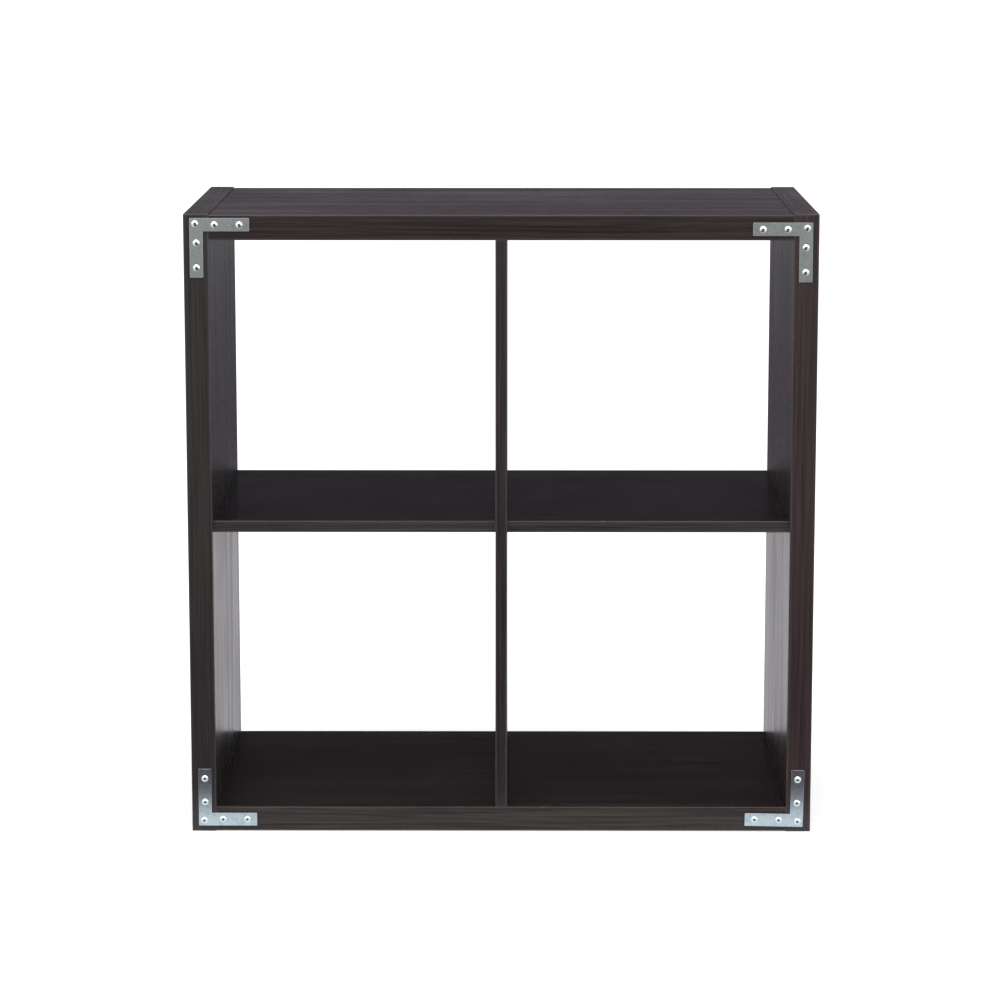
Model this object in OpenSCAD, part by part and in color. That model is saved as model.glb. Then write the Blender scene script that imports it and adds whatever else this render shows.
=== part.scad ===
// Two-by-two cube storage unit: thick outer boards, thin inner boards, open at the back.
// Millimetres. +Z is up and the front faces -Y. The origin is on the floor, below the middle.

/* [Carcass] */
// Overall width over the side panels
width = 760; // [700:10:800]
// Depth of the outer boards, front to back
depth = 390; // [340:10:420]
// Overall height of the side panels
height = 760; // [700:10:800]
// Thickness of the side, top and bottom panels
outer_board = 30; // [28:1:34]
// Thickness of the divider and the shelves
inner_board = 14; // [14:1:18]
// How far the top panel lies below the tops of the side panels
top_step = 1.4; // [0:0.2:2]
// How far the bottom panel lies above the floor ends of the side panels
bottom_step = 0.8; // [0:0.2:2]
// How far each shelf stays behind the front and ahead of the rear of the divider
shelf_setback = 7; // [2:1:20]
// Thickness of the glued edge bands
band = 1; // [0.6:0.1:2]

/* [Corner brackets] */
// Length of each leg of a bracket
bracket_leg = 71.5; // [68:0.5:80]
// Width of a leg
bracket_width = 16; // [14:1:18]
// Thickness of the bracket plate
bracket_thick = 2; // [1.5:0.1:3]
// Corner screw, from both outer edges of the bracket
screw_corner = 6.6; // [6:0.1:8]
// Near screw of each leg, from the outer corner
screw_near = 29.8; // [28:0.1:34]
// Far screw of each leg, from the outer corner
screw_far = 59.5; // [55:0.1:62]
// Sideways tilt of the bracket at the lower right
lower_right_tilt = 1.1; // [0:0.1:1.5]

/* [Fasteners] */
// Diameter of a bracket screw's head
screw_head_d = 8.2; // [7:0.1:8.6]
// Diameter of a bracket screw's shank
screw_shank_d = 3.5; // [3:0.1:4]
// Length of a bracket screw below its head
screw_length = 20; // [15:1:22]
// Diameter of every wood dowel
dowel_d = 8; // [6:1:8]
// Shank diameter of a connecting screw
connector_d = 6.4; // [6:0.1:7]
// Head diameter of a connecting screw
connector_head_d = 10; // [9:0.5:11]
// Length of a connecting screw below its head
connector_length = 60; // [50:1:64]
// Diameter of the visible disc of a cover cap
cap_d = 13; // [12:0.5:16]

/* [Hidden] */
$fn = 48;

LEFT = -1;
RIGHT = 1;
LOWER = 0;
UPPER = 1;

// Outer faces and joint planes of the carcass
front = -depth / 2;
rear = depth / 2;
inner_x = width / 2 - outer_board;
top_upper = height - top_step;
top_lower = top_upper - outer_board;
bottom_lower = bottom_step;
bottom_upper = bottom_lower + outer_board;
opening_h = top_lower - bottom_upper;
shelf_lower = bottom_upper + (opening_h - inner_board) / 2;
shelf_mid = shelf_lower + inner_board / 2;
shelf_depth = depth - 2 * shelf_setback;
divider_x = inner_board / 2;

// Nearer faces of the edge bands, front to back
rear_strip = rear - band;
shelf_front_strip = front + shelf_setback;
shelf_rear_strip = rear - shelf_setback - band;

// A cutter reaches this far past the face that it opens
PAST = 1;

// Dowel lengths on each side of a joint: the short end sits in a board's face
face_bite = 12;
edge_bite = 28;
thin_edge_bite = 22;
dowel_inset = 45;
thin_dowel_inset = 60;
dowel_places = [front + dowel_inset, rear - dowel_inset];
thin_dowel_places = [front + thin_dowel_inset, rear - thin_dowel_inset];

// Connecting screw: a disc head in a counterbore, which a cap closes
connector_inset = 95;
connector_places = [front + connector_inset, rear - connector_inset];
connector_head_h = 3;
connector_sink = 3;
hex_key = 4;
connector_socket_d = hex_key / cos(30);
connector_socket_depth = 2.2;
cap_proud = 0.8;

// Bracket screw: a raised round head over the plate, with a cross recess
screw_head_h = 2.2;
recess_length = 3.6;
recess_width = 0.9;
recess_depth = 1.2;
screw_tip_h = 3;
side_turn = 23;
level_turn = 46;
next_turn = 37;

// Bracket places: [side, level, inset from the side, inset from the end, tilt]
TOP_LEFT = [LEFT, UPPER, 7.7, 4.7, 0];
TOP_RIGHT = [RIGHT, UPPER, 7.9, 10, 0];
BOTTOM_LEFT = [LEFT, LOWER, 8.4, 7.3, 0];
BOTTOM_RIGHT = [RIGHT, LOWER, 9.4, 6.3, lower_right_tilt];
BRACKETS = [TOP_LEFT, TOP_RIGHT, BOTTOM_LEFT, BOTTOM_RIGHT];
bracket_hole_d = 4.2;
bracket_corner_r = 1;
bracket_middle = bracket_width / 2;
SCREWS = [
    [screw_corner, screw_corner],
    [screw_near, bracket_middle],
    [screw_far, bracket_middle],
    [bracket_middle, screw_near],
    [bracket_middle, screw_far]
];

// ---- Finishes -----------------------------------------------------------------------------

LAMINATE = [0.16, 0.13, 0.125];
BAND_FOIL = [0.19, 0.155, 0.15];
ZINC = [0.66, 0.68, 0.68];
BRIGHT_ZINC = [0.82, 0.84, 0.84];
BEECH = [0.76, 0.6, 0.42];
CAP_PLASTIC = [0.13, 0.1, 0.09];

// ---- Places, dowels and cutters -----------------------------------------------------------

// Puts a flat drawing with its outer corner at the origin, legs along +x and +y, on the front
// face at one bracket's place. Extrusion runs towards the viewer.
module at_bracket(place) {
    side = place[0];
    up = place[1] == UPPER;
    translate([side * (width / 2 - place[2]), front, up ? height - place[3] : place[3]])
        rotate([90, 0, 0])
            rotate([0, 0, -side * place[4]])
                mirror([side == RIGHT ? 1 : 0, 0, 0])
                    mirror([0, up ? 1 : 0, 0])
                        children();
}

// Pilot holes for every bracket screw
module screw_pilots() {
    for (place = BRACKETS)
        at_bracket(place)
            for (at = SCREWS)
                translate([at[0], at[1], -screw_length])
                    cylinder(h = screw_length + PAST, d = screw_shank_d);
}

// A rod along X, from x0 to x1
module rod_x(x0, x1, y, z, d) {
    translate([min(x0, x1), y, z])
        rotate([0, 90, 0])
            cylinder(h = abs(x1 - x0), d = d);
}

// A rod along Z, from z0 to z1
module rod_z(x, y, z0, z1, d) {
    translate([x, y, z0])
        cylinder(h = z1 - z0, d = d);
}

// Middle height of the top or the bottom panel
function panel_mid(level) =
    level == UPPER ? top_upper - outer_board / 2 : bottom_lower + outer_board / 2;

// The two dowels of one panel corner
module corner_dowels(side, level) {
    color(BEECH)
        for (y = dowel_places)
            rod_x(side * (inner_x - edge_bite), side * (inner_x + face_bite), y,
                panel_mid(level), dowel_d);
}

// The two dowels between a shelf and a side panel
module side_shelf_dowels(side) {
    color(BEECH)
        for (y = thin_dowel_places)
            rod_x(side * (inner_x - thin_edge_bite), side * (inner_x + face_bite), y,
                shelf_mid, dowel_d);
}

// The two long dowels through the divider into both shelves
module centre_shelf_dowels() {
    reach = divider_x + thin_edge_bite;
    color(BEECH)
        for (y = thin_dowel_places)
            rod_x(-reach, reach, y, shelf_mid, dowel_d);
}

// The two dowels between the divider and the top or bottom panel
module divider_dowels(level) {
    joint = level == UPPER ? top_lower : bottom_upper;
    outwards = level == UPPER ? 1 : -1;
    far = joint + outwards * face_bite;
    near = joint - outwards * thin_edge_bite;
    color(BEECH)
        for (y = thin_dowel_places)
            rod_z(0, y, min(far, near), max(far, near), dowel_d);
}

// Bores for the connecting screws of one panel corner, open at the side panel's outer face
module connector_bores(side, level) {
    outer = side * width / 2;
    seat = outer - side * (connector_sink + connector_head_h);
    for (y = connector_places) {
        rod_x(outer + side * PAST, seat, y, panel_mid(level), connector_head_d);
        rod_x(seat + side * PAST, seat - side * connector_length, y, panel_mid(level),
            connector_d);
    }
}

// ---- Boards -------------------------------------------------------------------------------

module side_panel(side) {
    color(LAMINATE)
        difference() {
            translate([side > 0 ? inner_x : -width / 2, front + band, 0])
                cube([outer_board, depth - 2 * band, height - band]);
            screw_pilots();
            side_shelf_dowels(side);
            for (level = [LOWER, UPPER]) {
                corner_dowels(side, level);
                connector_bores(side, level);
            }
        }
}

module cross_panel(level) {
    color(LAMINATE)
        difference() {
            translate([-inner_x, front + band, level == UPPER ? top_lower : bottom_lower])
                cube([2 * inner_x, depth - 2 * band, outer_board]);
            screw_pilots();
            divider_dowels(level);
            for (side = [LEFT, RIGHT]) {
                corner_dowels(side, level);
                connector_bores(side, level);
            }
        }
}

module divider_board() {
    color(LAMINATE)
        difference() {
            translate([-divider_x, front + band, bottom_upper])
                cube([inner_board, depth - 2 * band, opening_h]);
            centre_shelf_dowels();
            for (level = [LOWER, UPPER])
                divider_dowels(level);
        }
}

module shelf_board(side) {
    color(LAMINATE)
        difference() {
            translate([side > 0 ? divider_x : -inner_x, front + shelf_setback + band, shelf_lower])
                cube([inner_x - divider_x, shelf_depth - 2 * band, inner_board]);
            side_shelf_dowels(side);
            centre_shelf_dowels();
        }
}

// ---- Edge bands ---------------------------------------------------------------------------

// An upright strip on a front or rear edge, with the screw pilots cut through it
module edge_strip(x0, x1, y0, z0, z1) {
    color(BAND_FOIL)
        difference() {
            translate([x0, y0, z0])
                cube([x1 - x0, band, z1 - z0]);
            screw_pilots();
        }
}

module side_edge_strip(side, y0) {
    x0 = side > 0 ? inner_x : -width / 2;
    edge_strip(x0, x0 + outer_board, y0, 0, height - band);
}

module side_top_strip(side) {
    color(BAND_FOIL)
        translate([side > 0 ? inner_x : -width / 2, front, height - band])
            cube([outer_board, depth, band]);
}

module cross_edge_strip(level, y0) {
    z0 = level == UPPER ? top_lower : bottom_lower;
    edge_strip(-inner_x, inner_x, y0, z0, z0 + outer_board);
}

module divider_edge_strip(y0) {
    edge_strip(-divider_x, divider_x, y0, bottom_upper, top_lower);
}

module shelf_edge_strip(side, y0) {
    x0 = side > 0 ? divider_x : -inner_x;
    edge_strip(x0, x0 + inner_x - divider_x, y0, shelf_lower, shelf_lower + inner_board);
}

// ---- Metal and plastic hardware -----------------------------------------------------------

// The L outline of a bracket, its outer corner at the origin and its five holes cut
module bracket_outline() {
    r = bracket_corner_r;
    difference() {
        union() {
            for (leg = [[bracket_leg, bracket_width], [bracket_width, bracket_leg]]) {
                translate([r, 0])
                    square([leg[0] - 2 * r, leg[1]]);
                translate([0, r])
                    square([leg[0], leg[1] - 2 * r]);
                for (x = [r, leg[0] - r], y = [r, leg[1] - r])
                    translate([x, y])
                        circle(r = r);
            }
            translate([r, r])
                square(bracket_width - r);
        }
        for (at = SCREWS)
            translate(at)
                circle(d = bracket_hole_d);
    }
}

module bracket(place) {
    color(ZINC)
        at_bracket(place)
            linear_extrude(bracket_thick)
                bracket_outline();
}

// One bracket screw: a pointed shank, and a raised head with a cross recess
module bracket_screw() {
    head_r = screw_head_d / 2;
    crown_r = (head_r * head_r + screw_head_h * screw_head_h) / (2 * screw_head_h);
    seat = bracket_thick;
    shank_r = screw_shank_d / 2;
    difference() {
        rotate_extrude() {
            intersection() {
                translate([0, seat + screw_head_h - crown_r])
                    circle(r = crown_r);
                translate([0, seat])
                    square([head_r, screw_head_h]);
            }
            polygon([
                [0, -screw_length],
                [shank_r, screw_tip_h - screw_length],
                [shank_r, seat],
                [0, seat]
            ]);
        }
        for (turn = [0, 90])
            rotate([0, 0, turn])
                translate([-recess_length / 2, -recess_width / 2,
                        seat + screw_head_h - recess_depth])
                    cube([recess_length, recess_width, recess_depth + PAST]);
    }
}

// Each screw sits at its own turn, as if driven by hand
module bracket_screws(place) {
    first_turn = side_turn * place[0] + level_turn * place[1];
    color(BRIGHT_ZINC)
        at_bracket(place)
            for (i = [0:len(SCREWS) - 1])
                translate(SCREWS[i])
                    rotate([0, 0, first_turn + next_turn * i])
                        bracket_screw();
}

// The two connecting screws of one panel corner, with hexagon sockets
module connecting_screws(side, level) {
    head_out = side * (width / 2 - connector_sink);
    seat = head_out - side * connector_head_h;
    tip = seat - side * connector_length;
    color(ZINC)
        for (y = connector_places)
            difference() {
                union() {
                    rod_x(head_out, seat, y, panel_mid(level), connector_head_d);
                    rod_x(seat, tip, y, panel_mid(level), connector_d);
                }
                translate([head_out - side * connector_socket_depth, y, panel_mid(level)])
                    rotate([0, side * 90, 0])
                        cylinder(h = connector_socket_depth + PAST, d = connector_socket_d,
                            $fn = 6);
            }
}

// Cover caps on one side panel: a plug in the counterbore under a low disc
module cover_caps(side) {
    outer = side * width / 2;
    color(CAP_PLASTIC)
        for (level = [LOWER, UPPER], y = connector_places) {
            rod_x(outer, outer - side * connector_sink, y, panel_mid(level), connector_head_d);
            rod_x(outer, outer + side * cap_proud, y, panel_mid(level), cap_d);
        }
}

// ---- Nodes --------------------------------------------------------------------------------

side_panel(LEFT);  // side_panel_left
side_panel(RIGHT);  // side_panel_right
cross_panel(UPPER);  // top_panel
cross_panel(LOWER);  // bottom_panel
divider_board();  // centre_divider
shelf_board(LEFT);  // shelf_left
shelf_board(RIGHT);  // shelf_right

side_edge_strip(LEFT, front);  // band_side_left_front
side_edge_strip(LEFT, rear_strip);  // band_side_left_rear
side_top_strip(LEFT);  // band_side_left_top
side_edge_strip(RIGHT, front);  // band_side_right_front
side_edge_strip(RIGHT, rear_strip);  // band_side_right_rear
side_top_strip(RIGHT);  // band_side_right_top
cross_edge_strip(UPPER, front);  // band_top_front
cross_edge_strip(UPPER, rear_strip);  // band_top_rear
cross_edge_strip(LOWER, front);  // band_bottom_front
cross_edge_strip(LOWER, rear_strip);  // band_bottom_rear
divider_edge_strip(front);  // band_divider_front
divider_edge_strip(rear_strip);  // band_divider_rear
shelf_edge_strip(LEFT, shelf_front_strip);  // band_shelf_left_front
shelf_edge_strip(LEFT, shelf_rear_strip);  // band_shelf_left_rear
shelf_edge_strip(RIGHT, shelf_front_strip);  // band_shelf_right_front
shelf_edge_strip(RIGHT, shelf_rear_strip);  // band_shelf_right_rear

bracket(TOP_LEFT);  // bracket_top_left
bracket(TOP_RIGHT);  // bracket_top_right
bracket(BOTTOM_LEFT);  // bracket_bottom_left
bracket(BOTTOM_RIGHT);  // bracket_bottom_right

bracket_screws(TOP_LEFT);  // bracket_screws_top_left
bracket_screws(TOP_RIGHT);  // bracket_screws_top_right
bracket_screws(BOTTOM_LEFT);  // bracket_screws_bottom_left
bracket_screws(BOTTOM_RIGHT);  // bracket_screws_bottom_right

corner_dowels(LEFT, UPPER);  // corner_dowels_top_left
corner_dowels(RIGHT, UPPER);  // corner_dowels_top_right
corner_dowels(LEFT, LOWER);  // corner_dowels_bottom_left
corner_dowels(RIGHT, LOWER);  // corner_dowels_bottom_right

connecting_screws(LEFT, UPPER);  // connecting_screws_top_left
connecting_screws(RIGHT, UPPER);  // connecting_screws_top_right
connecting_screws(LEFT, LOWER);  // connecting_screws_bottom_left
connecting_screws(RIGHT, LOWER);  // connecting_screws_bottom_right

cover_caps(LEFT);  // cover_caps_left
cover_caps(RIGHT);  // cover_caps_right

divider_dowels(UPPER);  // divider_dowels_top
divider_dowels(LOWER);  // divider_dowels_bottom
side_shelf_dowels(LEFT);  // shelf_dowels_left
centre_shelf_dowels();  // shelf_dowels_centre
side_shelf_dowels(RIGHT);  // shelf_dowels_right
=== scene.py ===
"""Two-by-two cube storage unit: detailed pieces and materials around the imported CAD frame.

Metres, +Z up, the front faces -Y. Every place and every size of a piece is read from the frame.
"""

import math

import bmesh
import bpy
from mathutils import Matrix, Vector


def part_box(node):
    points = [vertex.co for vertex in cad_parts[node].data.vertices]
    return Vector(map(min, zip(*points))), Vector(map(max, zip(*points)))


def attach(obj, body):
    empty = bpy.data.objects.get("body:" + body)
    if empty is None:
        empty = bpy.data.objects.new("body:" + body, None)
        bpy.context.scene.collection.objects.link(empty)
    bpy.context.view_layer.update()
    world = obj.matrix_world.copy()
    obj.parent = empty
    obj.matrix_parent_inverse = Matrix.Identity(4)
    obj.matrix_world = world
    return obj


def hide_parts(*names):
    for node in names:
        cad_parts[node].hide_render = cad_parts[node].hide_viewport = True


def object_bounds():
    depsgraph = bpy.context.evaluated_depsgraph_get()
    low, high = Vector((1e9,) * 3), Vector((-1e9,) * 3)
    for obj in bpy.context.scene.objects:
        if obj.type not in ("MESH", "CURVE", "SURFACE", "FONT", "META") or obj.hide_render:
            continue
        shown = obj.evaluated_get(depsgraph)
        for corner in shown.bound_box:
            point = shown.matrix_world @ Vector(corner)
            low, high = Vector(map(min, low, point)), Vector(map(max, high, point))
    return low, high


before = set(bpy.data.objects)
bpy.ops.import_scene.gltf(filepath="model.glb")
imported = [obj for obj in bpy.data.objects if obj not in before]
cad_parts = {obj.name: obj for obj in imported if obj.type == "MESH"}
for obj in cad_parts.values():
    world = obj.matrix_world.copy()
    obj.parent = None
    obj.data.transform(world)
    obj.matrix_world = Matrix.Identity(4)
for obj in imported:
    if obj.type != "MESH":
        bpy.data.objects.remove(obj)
cad_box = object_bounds()

MM = 0.001
LEFT, RIGHT = -1, 1
LOWER, UPPER = -1, 1
SIDES = {"left": LEFT, "right": RIGHT}
LEVELS = {"bottom": LOWER, "top": UPPER}

# Rounding of the boards
ARRIS = 0.8 * MM        # radius of an open long edge
ARRIS_STEPS = 4
SEAM = 0.16 * MM        # chamfer where a band meets its board, or a board meets another
LOOSE_SEAM = 0.6 * MM   # the same where a shelf's band ends against an upright
WEAR_REACH = 3.0 * MM   # how far inwards wear, and the painted edge highlight, can reach from an edge

# Brackets
BURR = 0.20 * MM        # rounding of the punched edges
BURR_STEPS = 3
PLATE_CORNER = 0.7 * MM
CORNER_STEPS = 5

# Bracket screws
HEAD_RIM = 0.45 * MM    # straight rim below a head's dome
HEAD_BREAK = 0.08 * MM  # chamfer below the rim
DOME_STEPS = 9
RECESS_LONG = 3.1 * MM  # cross recess, over two wings
RECESS_WIDE = 1.1 * MM
RECESS_DEEP = 1.45 * MM
RECESS_CORE = 1.0 * MM  # radius of the round middle of the recess
WING_MOUTH = (1.6, 1.5)  # a wing's cutter, as parts of its length and width, at its open end
WING_FLOOR = (0.4, 0.5)  # and at its bottom
CORE_MOUTH = 1.4
CORE_FLOOR = 0.6
THREAD_PLAIN = 3.0 * MM
THREAD_PITCH = 1.4 * MM
THREAD_ROOT = 0.78      # of the shank's radius
THREAD_FLANKS = (0.3, 0.75)  # where a turn leaves its root and reaches its crest
THREAD_POINT = 3 * MM
TURN_STEP = math.radians(37)
TURN_START = math.radians(20)

# Dowels and caps
DOWEL_CHAMFER = 0.9 * MM
DOWEL_FLUTES = 20
FLUTE = 0.28 * MM
CAP_DOME = 0.35 * MM
CAP_DOME_REACH = 0.9    # of the disc's radius
CAP_RIM = ((0.96, 0.62), (1.0, 0.82), (1.0, 1.0))  # parts of the disc's radius and height
CAP_LEAD = 0.4 * MM     # chamfer of the plug
CAP_WORN = 0.93         # of the disc's radius: wear starts here
CAP_STEPS = 6

# Steps round a circle
HOLE_SIDES = 32
HEAD_SIDES = 48
CAP_SIDES = 56

# Cuts and comparisons
COUNTERBORE = 5.0 * MM  # how far a cutter for a sunk head reaches past it
CLEAN_GAP = 0.002 * MM  # corners this near each other are joined after a cut
SAME_POINT = 0.001 * MM
SAME_PLANE = 0.01 * MM
INSIDE = ARRIS + 0.1 * MM  # a face deeper in a board than this is the wall of a bore
HEAD_RATIO = 1.05       # what is wider than this many shank radii belongs to the head


# ---- Camera ---------------------------------------------------------------------------------

CAMERA_PLACE = (0.0155, -4.299, 1.136)
CAMERA_TURN = (math.radians(80.02), 0, math.radians(0.236))
CAMERA_SENSOR = 36.0
CAMERA_LENS = 123.98


def place_camera():
    data = bpy.data.cameras.new("camera")
    data.sensor_width = CAMERA_SENSOR
    data.lens = CAMERA_LENS
    data.clip_end = 200
    camera = bpy.data.objects.new("camera", data)
    camera.location = CAMERA_PLACE
    camera.rotation_euler = CAMERA_TURN
    bpy.context.scene.collection.objects.link(camera)
    bpy.context.scene.camera = camera


# ---- Shader nodes ---------------------------------------------------------------------------

class Paint:
    """A node tree under construction. Sockets go in by name or number, and the output comes back."""

    def __init__(self, owner):
        owner.use_nodes = True
        self.tree = owner.node_tree
        self.owner = owner

    def last(self, kind):
        return next(n for n in self.tree.nodes if n.type == kind)

    def node(self, kind, inputs=None, output=0, **settings):
        made = self.tree.nodes.new("ShaderNode" + kind)
        for name, value in settings.items():
            setattr(made, name, value)
        self.feed(made, inputs or {})
        return made.outputs[output]

    def feed(self, node, inputs):
        """Links sockets and sets plain values. A plain colour is three numbers."""
        for name, value in inputs.items():
            socket = node.inputs[name]
            if isinstance(value, bpy.types.NodeSocket):
                self.tree.links.new(value, socket)
            elif socket.type == "RGBA":
                socket.default_value = (*value, 1)
            else:
                socket.default_value = value

    def math(self, operation, a, b=0.0):
        return self.node("Math", {0: a, 1: b}, operation=operation)

    def times(self, a, b):
        return self.math("MULTIPLY", a, b)

    def plus(self, first, *others):
        for other in others:
            first = self.math("ADD", first, other)
        return first

    def minus(self, a, b):
        return self.math("SUBTRACT", a, b)

    def fit(self, value, low, high, to_low=0.0, to_high=1.0):
        """value's range low to high, carried over smoothly to another range."""
        return self.node(
            "MapRange",
            {"Value": value, "From Min": low, "From Max": high, "To Min": to_low, "To Max": to_high},
            interpolation_type="SMOOTHSTEP",
        )

    def mix(self, factor, a, b, blend="MIX"):
        return self.node("Mix", {0: factor, 6: a, 7: b}, output=2, data_type="RGBA", blend_type=blend)

    def ramp(self, factor, stops):
        made = self.tree.nodes.new("ShaderNodeValToRGB")
        while len(made.color_ramp.elements) < len(stops):
            made.color_ramp.elements.new(0.5)
        for element, (place, colour) in zip(made.color_ramp.elements, stops):
            element.position = place
            element.color = (*colour, 1)
        self.tree.links.new(factor, made.inputs["Fac"])
        return made.outputs["Color"]

    def noise(self, vector, scale=1.0, detail=2.0, roughness=0.5):
        settings = {"Vector": vector, "Scale": scale, "Detail": detail, "Roughness": roughness}
        return self.node("TexNoise", settings)

    def streaks(self, vector, along, per_metre, stretch, detail=2.0, roughness=0.5):
        """Noise of per_metre repeats across, drawn out along one axis."""
        scale = [per_metre] * 3
        scale["XYZ".index(along)] /= stretch
        drawn = self.node("Mapping", {"Vector": vector, "Scale": scale})
        return self.noise(drawn, 1.0, detail, roughness)

    def cells(self, vector, scale, output="Distance"):
        return self.node("TexVoronoi", {"Vector": vector, "Scale": scale}, output=output)

    def place(self, shift=(0, 0, 0)):
        """The piece's own coordinates in metres, shifted."""
        own = self.node("TexCoord", output="Object")
        return self.node("Mapping", {"Vector": own, "Location": shift})

    def wear(self):
        """How worn the surface is, from 0 to 1, as make_piece stored it. On the wood foils the same mask
        also places a painted edge highlight.
        """
        return self.node("Attribute", output="Fac", attribute_name="wear")

    def bump(self, height, distance):
        return self.node("Bump", {"Height": height, "Distance": distance, "Strength": 1.0})


def new_paint(name):
    return Paint(bpy.data.materials.new(name))


def grey(value):
    return (value, value, value)


# ---- Materials ------------------------------------------------------------------------------

# Patterns of the wood grain: repeats per metre across it, times longer along it, detail, roughness
SWAY_PATTERN = (9, 6, 2, 0.5)
FIGURE_PATTERN = (40, 24, 4, 0.6)
FINE_PATTERN = (900, 150, 2, 0.5)
PORES_PATTERN = (620, 80, 1.5, 0.45)
PATCHES_PATTERN = (28, 14, 2, 0.5)
LINES_BOARD = 230       # grain lines per metre
LINES_BAND = 400
LINES_SHAPE = (80, 3, 0.62)
SWAY_WIDTH = 14 * MM    # how far the grain wanders sideways

# The part of a noise's range over which a mark comes in
PORES_SHOW = (0.60, 0.68)
SCUFFS_SHOW = (0.54, 0.70)
CHIPS_SHOW = (0.70, 0.725)
CHIPS_WORN = (0.70, 0.90)  # of the wear

# Tone of the lighter open edges: partly rubbed wear, partly a painted highlight of the rounded arris.
FOIL_RUBBED_AND_HIGHLIT = (0.115, 0.098, 0.092)
FOIL_CHIPPED = (0.30, 0.25, 0.20)
FOIL_RELIEF = 0.016 * MM


def laminate(name, grain, shift, dark, light, gloss=0.24, emboss=1.0, mottle=0.0, drift=0.28,
             pitch=LINES_BOARD, ior=1.5):
    """Dark wood-grain foil, embossed along its pores. grain is the axis it runs along, mottle is
    how much its sheen varies from patch to patch, drift how much its tone varies broadly, and
    pitch the number of its grain lines per metre."""
    paint = new_paint(name)
    place = paint.place(shift)
    sway = paint.times(paint.streaks(place, grain, *SWAY_PATTERN), SWAY_WIDTH)
    swayed = paint.node("VectorMath", {0: place, 1: sway}, operation="ADD")
    figure = paint.streaks(swayed, grain, *FIGURE_PATTERN)
    lines = paint.streaks(swayed, grain, pitch, *LINES_SHAPE)
    fine = paint.streaks(swayed, grain, *FINE_PATTERN)
    pores = paint.fit(paint.streaks(swayed, grain, *PORES_PATTERN), *PORES_SHOW)

    tone = paint.plus(paint.times(figure, drift), paint.times(lines, 1.0 - drift))
    middle = [0.5 * (a + b) for a, b in zip(dark, light)]
    colour = paint.ramp(tone, [(0.36, dark), (0.50, middle), (0.64, light)])
    colour = paint.mix(paint.times(pores, 0.55), colour, [0.45 * c for c in dark])

    worn = paint.wear()
    scuffs = paint.fit(paint.noise(place, 70, detail=5, roughness=0.7), *SCUFFS_SHOW)
    # The lighter line along open edges is partly rubbed wear and partly a painted arris highlight.
    rubbed_and_highlit = paint.times(paint.math("POWER", worn, 2.0), paint.fit(scuffs, 0.0, 1.0, 0.5, 1.0))
    colour = paint.mix(paint.times(rubbed_and_highlit, 0.6), colour, FOIL_RUBBED_AND_HIGHLIT)
    chips = paint.fit(paint.noise(place, 24, detail=4, roughness=0.75), *CHIPS_SHOW)
    chips = paint.times(chips, paint.fit(worn, *CHIPS_WORN))
    colour = paint.mix(chips, colour, FOIL_CHIPPED)

    smudges = paint.noise(place, 6, detail=3, roughness=0.6)
    roughness = paint.plus(
        paint.fit(smudges, 0.3, 0.7, gloss - 0.02, gloss + 0.02),
        paint.fit(lines, 0.3, 0.7, -0.03, 0.03),
        paint.times(pores, 0.10 * emboss),
        paint.times(rubbed_and_highlit, 0.12),
    )
    if mottle:
        patches = paint.streaks(swayed, grain, *PATCHES_PATTERN)
        roughness = paint.plus(roughness, paint.fit(patches, 0.35, 0.65, -mottle, mottle))

    relief = paint.minus(paint.times(fine, 0.4), paint.times(pores, 0.6))
    relief = paint.plus(relief, paint.times(lines, 0.5))
    paint.feed(paint.last("BSDF_PRINCIPLED"), {
        "Base Color": colour,
        "Roughness": roughness,
        "Normal": paint.bump(relief, FOIL_RELIEF * emboss),
        "IOR": ior,
    })
    return paint.owner


CHIP_SHAPE = (0.6, 0.6, 1.0)
CHIPS_PER_METRE = 620
CHIP_TONES = [(0.1, (0.13, 0.075, 0.04)), (0.5, (0.34, 0.22, 0.12)), (0.9, (0.55, 0.40, 0.25))]
CHIP_RELIEF = 0.25 * MM


def particleboard():
    """Pressed chips, where a board is cut and not covered."""
    paint = new_paint("particleboard")
    place = paint.place()
    pressed = paint.node("Mapping", {"Vector": place, "Scale": CHIP_SHAPE})
    shade = paint.node("SeparateColor", {"Color": paint.cells(pressed, CHIPS_PER_METRE, "Color")})
    dust = paint.noise(place, 1500, detail=3)
    tone = paint.plus(paint.times(shade, 0.7), paint.times(dust, 0.3))
    paint.feed(paint.last("BSDF_PRINCIPLED"), {
        "Base Color": paint.ramp(tone, CHIP_TONES),
        "Roughness": paint.fit(dust, 0.3, 0.7, 0.75, 0.92),
        "Normal": paint.bump(tone, CHIP_RELIEF),
    })
    return paint.owner


SCRATCH_PATTERN = (2600, 40, 2)  # as the wood's patterns are given
ZINC_DULL = 0.85        # of the plating's colour
ZINC_WARM = (0.97, 0.96, 0.86)
ZINC_RUBBED = (0.90, 0.91, 0.92)
ZINC_RELIEF = 0.006 * MM


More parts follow.
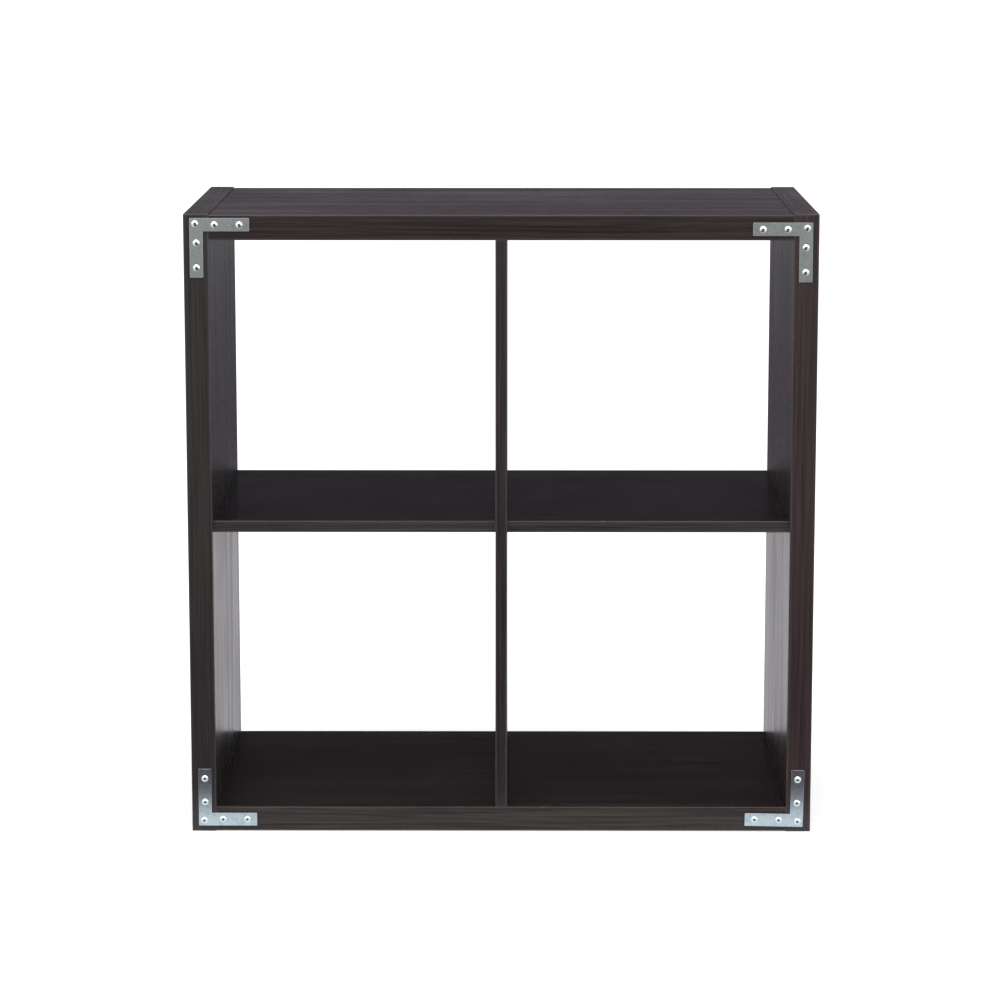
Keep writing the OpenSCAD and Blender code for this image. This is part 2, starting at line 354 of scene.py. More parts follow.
def zinc(name, colour, gloss, spangle):
    """Zinc-plated steel: cloudy plating, fine rolling scratches and brighter rubbed edges. spangle
    is how much its crystals differ in brightness."""
    paint = new_paint(name)
    place = paint.place()
    clouds = paint.noise(place, 130, detail=5, roughness=0.62)
    grains = paint.node("SeparateColor", {"Color": paint.cells(place, 900, "Color")})
    scratch = paint.plus(
        paint.streaks(place, "X", *SCRATCH_PATTERN), paint.streaks(place, "Z", *SCRATCH_PATTERN))

    dull = [ZINC_DULL * c for c in colour]
    warm = [c * part for c, part in zip(colour, ZINC_WARM)]
    base = paint.ramp(clouds, [(0.36, dull), (0.52, colour), (0.70, warm)])
    speck = paint.fit(grains, 0.0, 1.0, 1.0 - spangle, 1.0)
    speck = paint.node("CombineColor", {0: speck, 1: speck, 2: speck})
    base = paint.mix(1.0, base, speck, "MULTIPLY")
    base = paint.mix(paint.times(paint.wear(), 0.2), base, ZINC_RUBBED)

    roughness = paint.plus(
        paint.fit(clouds, 0.3, 0.7, gloss + 0.04, gloss - 0.03),
        paint.fit(grains, 0.0, 1.0, -0.02, 0.02),
        paint.fit(scratch, 0.8, 1.2, -0.02, 0.03),
    )
    relief = paint.plus(paint.times(grains, 0.25), scratch)
    paint.feed(paint.last("BSDF_PRINCIPLED"), {
        "Base Color": base,
        "Metallic": 1.0,
        "Roughness": roughness,
        "Normal": paint.bump(relief, ZINC_RELIEF),
    })
    return paint.owner


BEECH_BANDS = (520, 14, 4, 0.6)  # as the wood's patterns are given
BEECH_RAYS = (1500, 9, 1)
BEECH_RAYS_SHOW = (0.62, 0.70)
BEECH_TONES = [(0.3, (0.46, 0.29, 0.15)), (0.55, (0.60, 0.42, 0.25)), (0.75, (0.70, 0.53, 0.35))]
BEECH_RAY = (0.28, 0.15, 0.07)
BEECH_RELIEF = 0.06 * MM


def beech(grain):
    """Raw beech rod with short dark rays along the grain."""
    paint = new_paint("beech_along_" + grain.lower())
    place = paint.place()
    bands = paint.streaks(place, grain, *BEECH_BANDS)
    rays = paint.fit(paint.streaks(place, grain, *BEECH_RAYS), *BEECH_RAYS_SHOW)
    colour = paint.mix(paint.times(rays, 0.5), paint.ramp(bands, BEECH_TONES), BEECH_RAY)
    paint.feed(paint.last("BSDF_PRINCIPLED"), {
        "Base Color": colour,
        "Roughness": paint.fit(bands, 0.3, 0.7, 0.58, 0.74),
        "Normal": paint.bump(paint.minus(bands, rays), BEECH_RELIEF),
    })
    return paint.owner


CAP_TONES = [(0.35, (0.017, 0.012, 0.011)), (0.65, (0.030, 0.022, 0.019))]
CAP_RUBBED = (0.06, 0.048, 0.042)
CAP_RELIEF = 0.03 * MM


def cap_plastic():
    """Moulded dark brown plastic with a fine spark-eroded texture and a little rubbing."""
    paint = new_paint("cap_plastic")
    place = paint.place()
    texture = paint.noise(place, 2400, detail=3, roughness=0.6)
    flow = paint.noise(place, 90, detail=3, roughness=0.5)
    colour = paint.mix(paint.times(paint.wear(), 0.5), paint.ramp(flow, CAP_TONES), CAP_RUBBED)
    paint.feed(paint.last("BSDF_PRINCIPLED"), {
        "Base Color": colour,
        "Roughness": paint.fit(flow, 0.3, 0.7, 0.46, 0.58),
        "Normal": paint.bump(texture, CAP_RELIEF),
    })
    return paint.owner


# ---- Mesh helpers ---------------------------------------------------------------------------

def make_piece(name, bm, materials, nodes, smooth_angle=None, wear=None):
    """A visible piece from bm that rides on the body and stands for its CAD nodes."""
    bmesh.ops.recalc_face_normals(bm, faces=bm.faces)
    layer = bm.verts.layers.float.new("wear")
    for vert in bm.verts:
        vert[layer] = wear(vert.co) if wear else 0.0
    mesh = bpy.data.meshes.new(name)
    bm.to_mesh(mesh)
    bm.free()
    for material in materials:
        mesh.materials.append(material)
    if smooth_angle:
        mesh.shade_smooth()
        mesh.set_sharp_from_angle(angle=math.radians(smooth_angle))
    made = bpy.data.objects.new(name, mesh)
    bpy.context.scene.collection.objects.link(made)
    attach(made, "root")
    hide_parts(*nodes)
    return made


def evaluated(mesh, set_up):
    """A mesh after the modifiers that set_up adds to an object made of it, as a bmesh."""
    carrier = bpy.data.objects.new("carrier", mesh)
    bpy.context.scene.collection.objects.link(carrier)
    set_up(carrier)
    graph = bpy.context.evaluated_depsgraph_get()
    bm = bmesh.new()
    bm.from_mesh(carrier.evaluated_get(graph).to_mesh())
    bpy.data.objects.remove(carrier)
    bpy.data.meshes.remove(mesh)
    return bm


def mesh_of(bm, name="scratch"):
    mesh = bpy.data.meshes.new(name)
    bm.to_mesh(mesh)
    bm.free()
    return mesh


def cut(bm, cutter_bm):
    """bm with the closed solids of cutter_bm taken out."""
    bmesh.ops.recalc_face_normals(cutter_bm, faces=cutter_bm.faces)
    cutter = bpy.data.objects.new("cutter", mesh_of(cutter_bm))
    bpy.context.scene.collection.objects.link(cutter)

    def set_up(carrier):
        boolean = carrier.modifiers.new("cut", "BOOLEAN")
        boolean.operation = "DIFFERENCE"
        boolean.solver = "EXACT"
        boolean.object = cutter

    done = evaluated(mesh_of(bm), set_up)
    bmesh.ops.remove_doubles(done, verts=done.verts, dist=CLEAN_GAP)
    bmesh.ops.dissolve_degenerate(done, edges=done.edges, dist=CLEAN_GAP)
    mesh = cutter.data
    bpy.data.objects.remove(cutter)
    bpy.data.meshes.remove(mesh)
    return done


def lathe(bm, profile, place, segments, flute=0.0):
    """Turns (radius, height) points round the local Z axis. Radius 0 closes an end."""
    rings = []
    for radius, height in profile:
        if radius == 0:
            rings.append([bm.verts.new(place @ Vector((0, 0, height)))])
            continue
        ring = []
        for i in range(segments):
            angle = math.tau * i / segments
            r = radius - (flute if i % 2 else 0)
            ring.append(bm.verts.new(place @ Vector((r * math.cos(angle), r * math.sin(angle), height))))
        rings.append(ring)
    for low, high in zip(rings, rings[1:]):
        for i in range(segments):
            j = (i + 1) % segments
            corners = [low[i % len(low)], low[j % len(low)], high[j % len(high)], high[i % len(high)]]
            bm.faces.new(list(dict.fromkeys(corners)))


def towards(origin, axis):
    """A matrix that puts local Z along axis, from origin."""
    turn = Vector((0, 0, 1)).rotation_difference(Vector(axis)).to_matrix().to_4x4()
    return Matrix.Translation(origin) @ turn


def islands(node):
    """The points of each separate solid of a CAD node, in a steady order."""
    bm = bmesh.new()
    bm.from_mesh(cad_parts[node].data)
    bmesh.ops.remove_doubles(bm, verts=bm.verts, dist=SAME_POINT)
    left, found = set(bm.verts), []
    while left:
        todo, solid = [left.pop()], []
        while todo:
            vert = todo.pop()
            solid.append(vert.co.copy())
            linked = {edge.other_vert(vert) for edge in vert.link_edges} & left
            left -= linked
            todo += linked
        found.append(solid)
    bm.free()
    return sorted(found, key=lambda points: tuple(round(c, 5) for c in middle_of(points)))


def box_of(points):
    return (Vector([min(p[i] for p in points) for i in range(3)]),
            Vector([max(p[i] for p in points) for i in range(3)]))


def middle_of(points):
    low, high = box_of(points)
    return (low + high) / 2


class Rod:
    """A turned solid of the frame: a dowel, a screw or a cap. Its axis points from head to tip."""

    def __init__(self, points, axis):
        self.axis = Vector(axis)
        centre = middle_of(points)
        depths = [(p - centre).dot(self.axis) for p in points]
        radii = [((p - centre) - self.axis * d).length for p, d in zip(points, depths)]
        self.length = max(depths) - min(depths)
        self.head = centre + self.axis * min(depths)
        self.tip = centre + self.axis * max(depths)
        self.radius = max(radii)
        self.shank = max(r for r, d in zip(radii, depths) if d > 0)
        heads = [d for r, d in zip(radii, depths) if r > HEAD_RATIO * self.shank]
        self.head_height = max(heads) - min(depths) if heads else 0.0
        self.sunk = abs(self.axis.x) == 1 and self.head_height > 0

    def hole(self):
        """The profile of its hole in the boards, with a counterbore for a sunk head."""
        start = [(0, 0), (self.shank, 0)]
        if self.sunk:
            start = [
                (0, -COUNTERBORE), (self.radius, -COUNTERBORE),
                (self.radius, self.head_height), (self.shank, self.head_height),
            ]
        return start + [(self.shank, self.length), (0, self.length)]


# ---- Boards and bands -----------------------------------------------------------------------

def slab(node, joints, loose=""):
    """A board or a band as a rounded block, and its wear mask, which on the foils also places a painted
    edge highlight. joints names the faces that meet another piece, as in "+x -z", and loose those of
    them with a joint that shows."""
    low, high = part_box(node)
    bm = bmesh.new()
    bmesh.ops.create_cube(bm, size=1)
    for vert in bm.verts:
        vert.co = Vector([high[i] if vert.co[i] > 0 else low[i] for i in range(3)])
    weight = bm.edges.layers.float.new("bevel_weight_edge")
    for edge in bm.edges:
        meeting = [face_name(face) for face in edge.link_faces if face_name(face) in joints]
        width = ARRIS
        if meeting:
            width = LOOSE_SEAM if all(name in loose for name in meeting) else SEAM
        edge[weight] = width / ARRIS

    def set_up(carrier):
        bevel = carrier.modifiers.new("round", "BEVEL")
        bevel.limit_method = "WEIGHT"
        bevel.width = ARRIS
        bevel.segments = ARRIS_STEPS

    rounded = evaluated(mesh_of(bm), set_up)
    wide = [f for f in rounded.faces if short_side(f) > 3 * WEAR_REACH]
    bmesh.ops.inset_individual(rounded, faces=wide, thickness=WEAR_REACH)

    def wear(point):
        """1 on an edge between two open faces, falling to 0 at WEAR_REACH from it."""
        reach = []
        for i, axis in enumerate("xyz"):
            for name, end in (("-" + axis, low[i]), ("+" + axis, high[i])):
                if name not in joints:
                    reach.append(abs(point[i] - end))
        return max(0.0, 1.0 - sorted(reach)[1] / WEAR_REACH)

    return rounded, wear


def face_name(face):
    """The side that a face looks to, as in "+x"."""
    i = max(range(3), key=lambda k: abs(face.normal[k]))
    return ("+" if face.normal[i] > 0 else "-") + "xyz"[i]


def short_side(face):
    low, high = box_of([vert.co for vert in face.verts])
    return sorted(high - low)[1]


def bored(bm, node, rods):
    """bm with the holes of every dowel and screw that enters the node's box."""
    low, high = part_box(node)
    cutter = bmesh.new()
    for rod in rods:
        ends = box_of([rod.head, rod.tip])
        if all(ends[0][i] - rod.radius < high[i] and ends[1][i] + rod.radius > low[i] for i in range(3)):
            lathe(cutter, rod.hole(), towards(rod.head, rod.axis), HOLE_SIDES)
    if not cutter.verts:
        cutter.free()
        return bm
    return cut(bm, cutter)


def paint_raw(bm, node, raw):
    """Gives the uncovered ends named in raw, and the walls of all holes, the second material."""
    low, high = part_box(node)
    for face in bm.faces:
        centre = face.calc_center_median()
        depth = min(min(centre[i] - low[i], high[i] - centre[i]) for i in range(3))
        if depth > INSIDE or (depth < SAME_PLANE and face_name(face) in raw):
            face.material_index = 1


def board(node, joints, raw, foil, rods, board_core):
    bm, wear = slab(node, joints)
    bm = bored(bm, node, rods)
    paint_raw(bm, node, raw)
    return make_piece(node + "_laminated", bm, [foil, board_core], [node], wear=wear)


def band(node, joints, foil, rods, loose=""):
    bm, wear = slab(node, joints, loose)
    bm = bored(bm, node, rods)
    return make_piece(node + "_rounded", bm, [foil], [node], wear=wear)


# Foils of the boards
WOOD = {"dark": (0.0070, 0.0036, 0.0038), "light": (0.0255, 0.0148, 0.0155)}
TOP_BOARD = {**WOOD, "mottle": 0.03}
# The bottom panel's foil is a lighter copy of the wood: painted light where light falls on its open
# front.
BOTTOM_BOARD = {
    "dark": (0.0100, 0.0070, 0.0074), "light": (0.0275, 0.0195, 0.0202), "gloss": 0.21, "emboss": 0.12,
}
# The shelves' foil is a darker copy of the wood: painted shade of the cubbies under the top panel.
SHELF_BOARD = {
    "dark": (0.0060, 0.0038, 0.0048), "light": (0.0145, 0.0098, 0.0122), "gloss": 0.19, "emboss": 0.3,
}
LEFT_BOARD = {
    "dark": (0.0095, 0.0074, 0.0073), "light": (0.0285, 0.0228, 0.0226),
    "gloss": 0.265, "emboss": 0.3, "mottle": 0.032,
}
RIGHT_BOARD = {
    "dark": (0.0115, 0.0065, 0.0068), "light": (0.0385, 0.0225, 0.0238),
    "gloss": 0.27, "emboss": 0.3, "mottle": 0.032,
}

# Foils of the bands
LEFT_BAND = {"dark": (0.0125, 0.0100, 0.0099), "light": (0.0245, 0.0197, 0.0195)}
RIGHT_BAND = {"dark": (0.0155, 0.0090, 0.0094), "light": (0.0345, 0.0198, 0.0209)}
BOTTOM_BAND = {"dark": (0.0125, 0.0084, 0.0066), "light": (0.0420, 0.0305, 0.0255), "ior": 1.38}
DIVIDER_BAND = {"dark": (0.0110, 0.0075, 0.0078), "light": (0.0265, 0.0183, 0.0189)}
SHELF_BAND = {"dark": (0.0120, 0.0093, 0.0093), "light": (0.0350, 0.0280, 0.0282)}
BAND_GRAIN = {"drift": 0.12, "pitch": LINES_BAND}

# Each board: grain, where its pattern starts, faces that meet other pieces, uncovered ends, foil
BOARDS = {
    "side_panel_left": ("Z", (0.31, 0.12, 0.77), "-y +y +z", "-z", LEFT_BOARD),
    "side_panel_right": ("Z", (1.73, 0.42, 0.19), "-y +y +z", "-z", RIGHT_BOARD),
    "top_panel": ("X", (0.63, 2.31, 0.48), "-x +x -y +y", "-x +x", TOP_BOARD),
    "bottom_panel": ("X", (3.11, 0.87, 1.42), "-x +x -y +y", "-x +x", BOTTOM_BOARD),
    "centre_divider": ("Z", (2.09, 1.36, 0.91), "-y +y -z +z", "-z +z", WOOD),
    "shelf_left": ("X", (0.27, 3.18, 2.06), "-x +x -y +y", "-x +x", SHELF_BOARD),
    "shelf_right": ("X", (1.15, 1.94, 3.33), "-x +x -y +y", "-x +x", SHELF_BOARD),
}

# The bands of each side panel: where their pattern starts, foil
SIDE_BANDS = {"left": (0.58, LEFT_BAND), "right": (1.27, RIGHT_BAND)}

# The front and rear band of each other board: the axis it runs along, where its pattern starts, foil
BANDS = {
    "top": ("X", 0.4, WOOD),
    "bottom": ("X", 1.6, BOTTOM_BAND),
    "divider": ("Z", 2.2, DIVIDER_BAND),
    "shelf_left": ("X", 2.9, SHELF_BAND),
    "shelf_right": ("X", 3.7, SHELF_BAND),
}


def make_carcass(rods):
    core = particleboard()
    for node, (grain, shift, joints, raw, foil) in BOARDS.items():
        short_name = node.replace("_panel", "").replace("centre_", "")
        face = laminate("laminate_" + short_name, grain, shift, **foil)
        board(node, joints, raw, face, rods, core)

    for side, (shift, foil) in SIDE_BANDS.items():
        upright = laminate("band_foil_side_" + side, "Z", (shift, 1.8, 0.3), **foil, **BAND_GRAIN)
        across = laminate("band_foil_side_top_" + side, "Y", (shift, 0.7, 1.1), **foil, emboss=0.4)
        band(f"band_side_{side}_front", "+y +z", upright, rods)
        band(f"band_side_{side}_rear", "-y +z", upright, rods)
        band(f"band_side_{side}_top", "-z", across, rods)

    for name, (along, shift, foil) in BANDS.items():
        ends = "-{0} +{0}".format(along.lower())
        loose = ends if name.startswith("shelf") else ""
        strip = laminate("band_foil_" + name, along, (shift, 0.9, shift), **foil, **BAND_GRAIN)
        band(f"band_{name}_front", "+y " + ends, strip, rods, loose)
        band(f"band_{name}_rear", "-y " + ends, strip, rods, loose)


# ---- Corner brackets ------------------------------------------------------------------------

class Corner:
    """One bracket's own flat frame, found from its screws: origin at its outer corner, one axis
    along each leg, both pointing inwards."""

    def __init__(self, name, side, level, screws):
        points = [Vector((rod.head.x, rod.head.z)) for rod in screws]
        corner = max(points, key=lambda p: side * p.x + level * p.y)
        level_leg = sorted((p for p in points if p != corner), key=lambda p: side * p.x)[:2]
        upright_leg = sorted((p for p in points if p != corner), key=lambda p: level * p.y)[:2]
        level_far, level_near = level_leg
        upright_far, upright_near = upright_leg
        # each leg's pair of screws gives its direction; a far and a near screw share the middle line
        along = (level_far - self.nearer(level_near, level_far, corner)).normalized()
        up = (upright_far - self.nearer(upright_near, upright_far, corner)).normalized()
        cross = along.x * up.y - along.y * up.x
        offset = upright_far - level_far
        middle = level_far + along * ((offset.x * up.y - offset.y * up.x) / cross)
        solid = islands(name)[0]
        low, high = box_of(solid)
        flat = [Vector((p.x, p.z)) - middle for p in solid]
        half = -min(p.dot(along) for p in flat)
        self.along, self.up = along, up
        self.origin = middle - half * (along + up)
        self.width = 2 * half
        self.leg = max(p.dot(along) for p in flat) + half
        self.holes = [((p - self.origin).dot(along), (p - self.origin).dot(up)) for p in points]
        self.hole_radius = min((Vector((p.x, p.z)) - points[0]).length for p in solid)
        self.back, self.front = high.y, low.y

    @staticmethod
    def nearer(a, b, corner):
        return min((a, b), key=lambda p: (p - corner).length)

    def point(self, a, b, depth):
        flat = self.origin + a * self.along + b * self.up
        return Vector((flat.x, depth, flat.y))


def l_outline(leg, width, inset):
    """An L with small round outer corners, its outer corner at (0, 0), drawn in by inset."""
    corners = [(0, 0), (leg, 0), (leg, width), (width, width), (width, leg), (0, leg)]
    turns = [(1, 1), (-1, 1), (-1, -1), None, (-1, -1), (1, -1)]
    points = []
    for index, ((x, y), turn) in enumerate(zip(corners, turns)):
        if turn is None:
            points.append((x - inset, y - inset))
            continue
        centre = (x + turn[0] * PLATE_CORNER, y + turn[1] * PLATE_CORNER)
        start = math.atan2(-turn[1], -turn[0]) - math.pi / 4
        for step in range(CORNER_STEPS + 1):
            angle = start + math.pi / 2 * step / CORNER_STEPS
            radius = PLATE_CORNER - inset
            points.append((centre[0] + radius * math.cos(angle), centre[1] + radius * math.sin(angle)))
    return points


def round_hole(centre, radius):
    angles = [math.tau * i / HOLE_SIDES for i in range(HOLE_SIDES)]
    return [(centre[0] + radius * math.cos(a), centre[1] + radius * math.sin(a)) for a in angles]


def make_bracket(node, corner, metal):
    """A punched plate: straight edges at the back, rounded ones in front, five holes."""
    thick = corner.back - corner.front
    rings = [(0, corner.back)]
    for step in range(BURR_STEPS + 1):
        angle = math.pi / 2 * step / BURR_STEPS
        rings.append((BURR * (1 - math.cos(angle)), corner.front + BURR * (1 - math.sin(angle))))
    bm = bmesh.new()
    loops = []
    for inset, depth in rings:
        outlines = [l_outline(corner.leg, corner.width, inset)]
        outlines += [round_hole(hole, corner.hole_radius + inset) for hole in corner.holes]
        loops.append([[bm.verts.new(corner.point(a, b, depth)) for a, b in line] for line in outlines])
    for low, high in zip(loops, loops[1:]):
        for near, far in zip(low, high):
            for i in range(len(near)):
                j = (i + 1) % len(near)
                bm.faces.new((near[i], near[j], far[j], far[i]))
    for outlines in (loops[0], loops[-1]):
        edges = []
        for line in outlines:
            edges += [bm.edges.get((line[i - 1], line[i])) for i in range(len(line))]
        bmesh.ops.triangle_fill(bm, edges=edges, use_beauty=True)

    def wear(point):
        """Only the rounded edges are worn."""
        return 1.0 if corner.front + SAME_PLANE < point.y < corner.back - 0.5 * thick else 0.0

    return make_piece(node + "_punched", bm, [metal], [node], wear=wear)


# ---- Screws, dowels and caps ----------------------------------------------------------------

def recess_wing(turn):
    """One wing of the cross recess, narrowing towards its bottom."""
    bm = bmesh.new()
    rings = []
    for depth, (long_part, wide_part) in ((-RECESS_DEEP, WING_MOUTH), (RECESS_DEEP, WING_FLOOR)):
        x, y = long_part * RECESS_LONG / 2, wide_part * RECESS_WIDE / 2
        ends = [Vector((i * x, j * y, depth)) for i, j in ((-1, -1), (1, -1), (1, 1), (-1, 1))]
        rings.append([bm.verts.new(Matrix.Rotation(turn, 3, "Z") @ end) for end in ends])
    low, high = rings
    for i in range(4):
        bm.faces.new((low[i], low[(i + 1) % 4], high[(i + 1) % 4], high[i]))
    bm.faces.new(low)
    bm.faces.new(high)
    return bm


def recess_core():
    """The round, tapered middle of the cross recess."""
    bm = bmesh.new()
    mouth, floor = CORE_MOUTH * RECESS_CORE, CORE_FLOOR * RECESS_CORE
    profile = [(0, -RECESS_DEEP), (mouth, -RECESS_DEEP), (floor, RECESS_DEEP), (0, RECESS_DEEP)]
    lathe(bm, profile, Matrix.Identity(4), HOLE_SIDES)
    return bm


def screw_shape(rod):
    """A raised-head wood screw, head up at the origin and its tip along +Z. The faces of its
    recess have the second material."""
    dome = rod.head_height - HEAD_RIM
    crown = (rod.radius ** 2 + dome ** 2) / (2 * dome)
    reach = math.asin(rod.radius / crown)
    profile = [(0, 0)]
    for step in range(1, DOME_STEPS + 1):
        angle = reach * step / DOME_STEPS
        profile.append((crown * math.sin(angle), crown * (1 - math.cos(angle))))
    profile += [(rod.radius, rod.head_height - HEAD_BREAK), (rod.radius - HEAD_BREAK, rod.head_height)]
    root = THREAD_ROOT * rod.shank
    start = rod.head_height + THREAD_PLAIN
    end = rod.length - THREAD_POINT
    profile += [(rod.shank, rod.head_height), (rod.shank, start)]
    rise, crest = THREAD_FLANKS
    for turn in range(int((end - start) / THREAD_PITCH)):
        here = start + turn * THREAD_PITCH
        profile += [
            (root, here + rise * THREAD_PITCH),
            (rod.shank, here + crest * THREAD_PITCH),
            (rod.shank, here + THREAD_PITCH),
        ]
    profile += [(root, end), (0, rod.length)]
    bm = bmesh.new()
    lathe(bm, profile, Matrix.Identity(4), HEAD_SIDES)
    for tool in (recess_wing(0), recess_wing(math.pi / 2), recess_core()):
        bmesh.ops.recalc_face_normals(bm, faces=bm.faces)
        bm = cut(bm, tool)
    for face in bm.faces:
        middle = face.calc_center_median()
        radius = math.hypot(middle.x, middle.y)
        surface = crown - math.sqrt(max(0.0, crown ** 2 - radius ** 2))
        below_dome = middle.z > surface + 4 * SAME_PLANE
        # Recess faces take the dark zinc, which paints the shade inside the recess.
        if below_dome and radius < RECESS_LONG and middle.z < RECESS_DEEP + SAME_PLANE:
            face.material_index = 1
    return bm


def make_bracket_screws(node, screws, shape, metals, first):
    bm = bmesh.new()
    for i, rod in enumerate(screws):
        turned = towards(rod.head, rod.axis) @ Matrix.Rotation(first + TURN_STEP * i, 4, "Z")
        copy = shape.copy()
        copy.transform(turned)
        bm.from_mesh(copy)
        bpy.data.meshes.remove(copy)
    return make_piece(node + "_driven", bm, metals, [node], smooth_angle=32)


def make_dowels(node, rods, wood):
    """Fluted dowels with chamfered ends."""
    bm = bmesh.new()
    for rod in rods:
        end = DOWEL_CHAMFER
        profile = [(0, 0), (rod.radius - end, 0), (rod.radius, end), (rod.radius, rod.length - end),
                   (rod.radius - end, rod.length), (0, rod.length)]
        lathe(bm, profile, towards(rod.head, rod.axis), 2 * DOWEL_FLUTES, FLUTE)
    return make_piece(node + "_fluted", bm, [wood], [node])


def make_caps(node, rods, plastic):
    """Low domed discs with a soft rim, each on its plug."""
    bm = bmesh.new()
    for rod in rods:
        disc = rod.head_height
        profile = [(0, 0)]
        for step in range(1, CAP_STEPS + 1):
            part = step / CAP_STEPS
            profile.append((CAP_DOME_REACH * rod.radius * part, CAP_DOME * part * part))
        profile += [(across * rod.radius, down * disc) for across, down in CAP_RIM]
        profile += [(rod.shank, disc), (rod.shank, rod.length - CAP_LEAD)]
        profile += [(rod.shank - CAP_LEAD, rod.length), (0, rod.length)]
        lathe(bm, profile, towards(rod.head, rod.axis), CAP_SIDES)
    reach = max(rod.radius for rod in rods)

    def wear(point):
        """Only the discs' rims are worn."""
        from_heads = [point - rod.head for rod in rods]
        radii = [(away - rod.axis * away.dot(rod.axis)).length for away, rod in zip(from_heads, rods)]
        return 1.0 if min(radii) > CAP_WORN * reach else 0.0

    return make_piece(
        node + "_moulded", bm, [plastic], [node], smooth_angle=40, wear=wear)


def make_hardware(rods):
    plate = zinc("zinc_plate", colour=(0.725, 0.755, 0.765), gloss=0.17, spangle=0.05)
    bright = zinc("zinc_screw", colour=(0.90, 0.92, 0.93), gloss=0.15, spangle=0.04)
    # The recess zinc is dark: painted shade inside the screws' cross recesses.
    recess = zinc("zinc_recess_painted_shade", colour=(0.16, 0.165, 0.17), gloss=0.42, spangle=0.25)
    steel = zinc("steel_connector", colour=(0.62, 0.64, 0.66), gloss=0.30, spangle=0.08)
    plastic = cap_plastic()
    along = {"X": beech("X"), "Z": beech("Z")}

    shape = None
    for level_name, level in LEVELS.items():
        for side_name, side in SIDES.items():
            place = f"{level_name}_{side_name}"
            screws = rods["bracket_screws_" + place]
            if shape is None:
                shape = mesh_of(screw_shape(screws[0]), "screw_shape")
            corner = Corner("bracket_" + place, side, level, screws)
            make_bracket("bracket_" + place, corner, plate)
            first = TURN_START * (2 + side + 3 * level)
            make_bracket_screws("bracket_screws_" + place, screws, shape, [bright, recess], first)
    bpy.data.meshes.remove(shape)

    for node, found in rods.items():
        if "dowels" in node:
            make_dowels(node, found, along["Z" if "divider" in node else "X"])
        elif node.startswith("connecting_screws"):
            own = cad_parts[node]
            own.data.materials.clear()
            own.data.materials.append(steel)
        elif node.startswith("cover_caps"):
            make_caps(node, found, plastic)


def find_rods():
    """Every turned solid of the frame, by node."""
    rods = {}
    for node in sorted(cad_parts):
        side = LEFT if node.endswith("left") else RIGHT
        if node.startswith("bracket_screws"):
            axis = (0, 1, 0)
        elif node.startswith("divider_dowels"):
            axis = (0, 0, 1)
        elif node.startswith(("corner_dowels", "shelf_dowels", "connecting_screws", "cover_caps")):
            axis = (-side, 0, 0)
        else:
            continue
        rods[node] = [Rod(points, axis) for points in islands(node)]
    return rods


# ---- Stage ----------------------------------------------------------------------------------

FLOOR_REACH = 60.0
FLOOR_PALE = (0.86, 0.86, 0.86)
FLOOR_LIFT = 0.3
AMBIENT = 1.15

# What reflections see of the floor: a lit platform that the unit stands on, and the floor round it
NEAR_FRONT = (0.72, 0.84, 0.93)
NEAR_REAR = (0.75, 0.73, 0.77)
FAR_FRONT = (0.255, 0.262, 0.25)
FAR_REAR = (0.09, 0.08, 0.098)
FAR_SIDES = (0.75, 0.76, 0.77)
# The distances, forwards or sideways, over which one of these turns into the next
PLATFORM_START = (-0.42, -0.24)
PLATFORM_MIDDLE = (-0.2, 0.2)
PLATFORM_END = (2.0, 2.35)
FAR_MIDDLE = (-3.0, -0.7)
FAR_SIDEWAYS = (0.9, 2.2)
BESIDE_START = (-2.0, -1.2)
BESIDE_END = (0.0, 0.3)
BESIDE_SIDEWAYS = (0.5, 0.95)

# What reflections see of the room, from level to straight up, behind the unit and in front of it
ROOM_REAR = [
    (0.00, (0.32, 0.295, 0.35)), (0.100, (0.32, 0.295, 0.35)), (0.122, grey(0.012)),
    (0.42, grey(0.01)), (0.62, grey(0.75)), (1.00, grey(1.5)),
]
ROOM_FRONT = [(0.00, grey(0.26)), (0.28, grey(0.26)), (0.46, grey(1.0)), (1.00, grey(1.6))]
FRONT_SIDES = (1.05, 1.06, 1.07)
# The parts of a direction over which one of these turns into the next
ROOM_MIDDLE = (-0.15, 0.05)
REAR_SIDEWAYS = (0.55, 0.85)
FRONT_SIDEWAYS = (0.35, 0.62)


def component(paint, vector, axis):
    return paint.node("SeparateXYZ", {"Vector": vector}, output=axis)


def reflected_floor(paint):
    place = paint.node("NewGeometry", output="Position")
    depth = component(paint, place, "Y")
    across = paint.math("ABSOLUTE", component(paint, place, "X"))
    far = paint.mix(paint.fit(depth, *FAR_MIDDLE), FAR_FRONT, FAR_REAR)
    far = paint.mix(paint.fit(across, *FAR_SIDEWAYS), far, FAR_SIDES)
    beside = paint.times(paint.fit(depth, *BESIDE_START), paint.fit(depth, *BESIDE_END, 1.0, 0.0))
    far = paint.mix(paint.times(beside, paint.fit(across, *BESIDE_SIDEWAYS)), far, FAR_SIDES)
    near = paint.mix(paint.fit(depth, *PLATFORM_MIDDLE), NEAR_FRONT, NEAR_REAR)
    platform = paint.times(
        paint.fit(depth, *PLATFORM_END, 1.0, 0.0), paint.fit(depth, *PLATFORM_START))
    return paint.mix(platform, far, near)


def reflected_room(paint):
    way = paint.node("TexCoord", output="Generated")
    depth = component(paint, way, "Y")
    height = component(paint, way, "Z")
    across = paint.math("ABSOLUTE", component(paint, way, "X"))
    rear = paint.mix(paint.fit(across, *REAR_SIDEWAYS), paint.ramp(height, ROOM_REAR), FAR_SIDES)
    front = paint.mix(
        paint.fit(across, *FRONT_SIDEWAYS), paint.ramp(height, ROOM_FRONT), FRONT_SIDES)
    return paint.mix(paint.fit(depth, *ROOM_MIDDLE), front, rear)


def show(paint, plain, reflected, output):
    """Sends plain to the output, and to reflections reflected."""
    glossy = paint.node("LightPath", output="Is Glossy Ray")
    both = paint.node("MixShader", {0: glossy, 1: plain, 2: reflected}, output="Shader")
    paint.feed(paint.last(output), {"Surface": both})


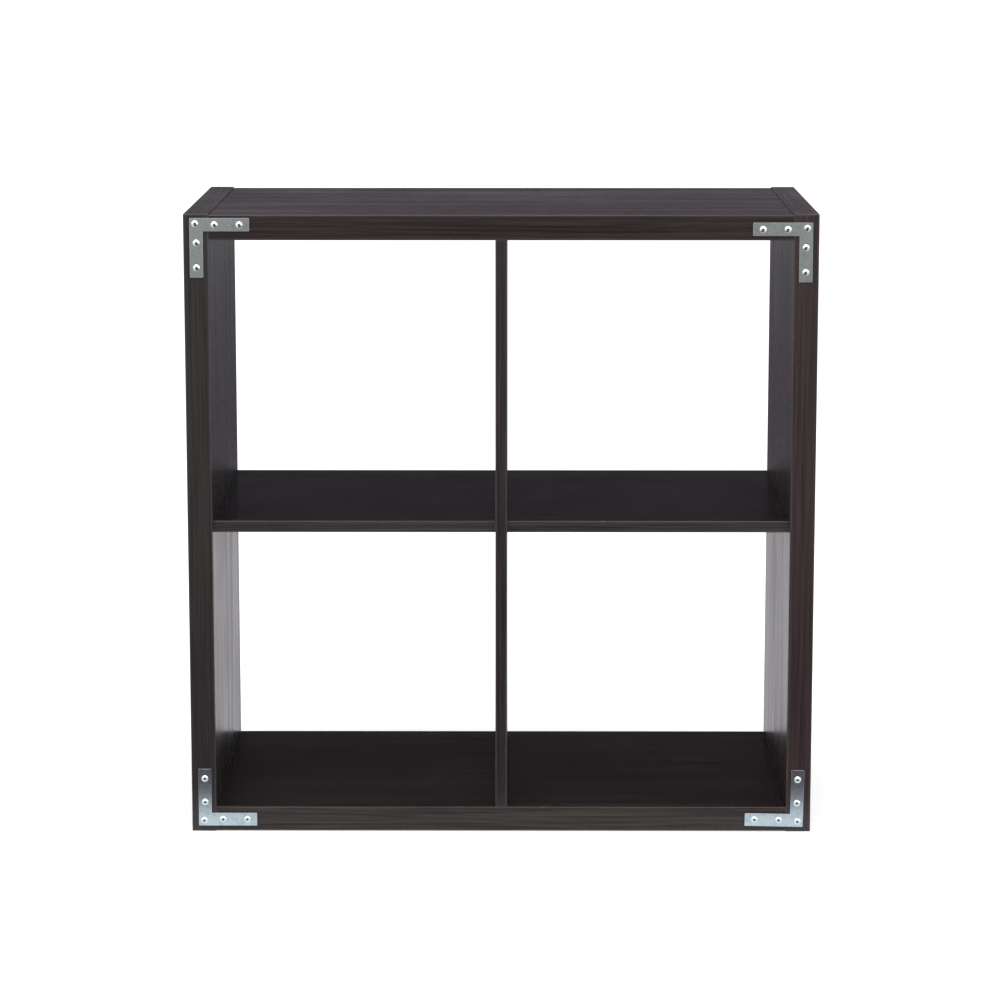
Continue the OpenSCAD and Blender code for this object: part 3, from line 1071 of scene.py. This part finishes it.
def make_floor():
    bm = bmesh.new()
    bmesh.ops.create_grid(bm, x_segments=1, y_segments=1, size=FLOOR_REACH)
    floor = bpy.data.objects.new("floor", mesh_of(bm, "floor"))
    bpy.context.scene.collection.objects.link(floor)
    paint = new_paint("floor")
    paint.tree.nodes.remove(paint.last("BSDF_PRINCIPLED"))
    plain = paint.node("AddShader", {
        0: paint.node("BsdfDiffuse", {"Color": FLOOR_PALE}, output="BSDF"),
        1: paint.node("Emission", {"Strength": FLOOR_LIFT}, output="Emission"),
    }, output="Shader")
    reflected = paint.node("Emission", {"Color": reflected_floor(paint)}, output="Emission")
    show(paint, plain, reflected, "OUTPUT_MATERIAL")
    paint.owner.cycles.emission_sampling = "NONE"
    floor.data.materials.append(paint.owner)


def make_world():
    """A white studio, which reflections see as a dim room with a bright ceiling and sides."""
    world = bpy.data.worlds.new("studio")
    bpy.context.scene.world = world
    paint = Paint(world)
    white = {"Color": grey(1), "Strength": AMBIENT}
    plain = paint.node("Background", white, output="Background")
    reflected = paint.node("Background", {"Color": reflected_room(paint)}, output="Background")
    show(paint, plain, reflected, "OUTPUT_WORLD")
    world.cycles.sampling_method = "NONE"


def softbox(name, place, size, watts):
    """A rectangular area light that looks at the middle of the unit."""
    data = bpy.data.lights.new(name, "AREA")
    data.shape = "RECTANGLE"
    data.size, data.size_y = size
    data.energy = watts
    lamp = bpy.data.objects.new(name, data)
    lamp.location = place
    middle = Vector((0, 0, cad_box[1][2] / 2))
    lamp.rotation_euler = (middle - Vector(place)).to_track_quat("-Z", "Y").to_euler()
    bpy.context.scene.collection.objects.link(lamp)


def make_stage():
    bpy.context.scene.view_settings.view_transform = "Standard"
    make_floor()
    make_world()
    softbox("softbox_above", place=(-0.4, -1.9, 3.0), size=(3.2, 2.2), watts=36)
    softbox("softbox_left", place=(-3.0, -1.6, 1.5), size=(2.6, 2.4), watts=7)
    softbox("softbox_right", place=(3.0, -1.6, 1.5), size=(2.6, 2.4), watts=15)


# ---- The whole unit -------------------------------------------------------------------------

place_camera()
make_stage()
found_rods = find_rods()
all_rods = [rod for node, group in found_rods.items() if not node.startswith("cover") for rod in group]
make_carcass(all_rods)
make_hardware(found_rods)
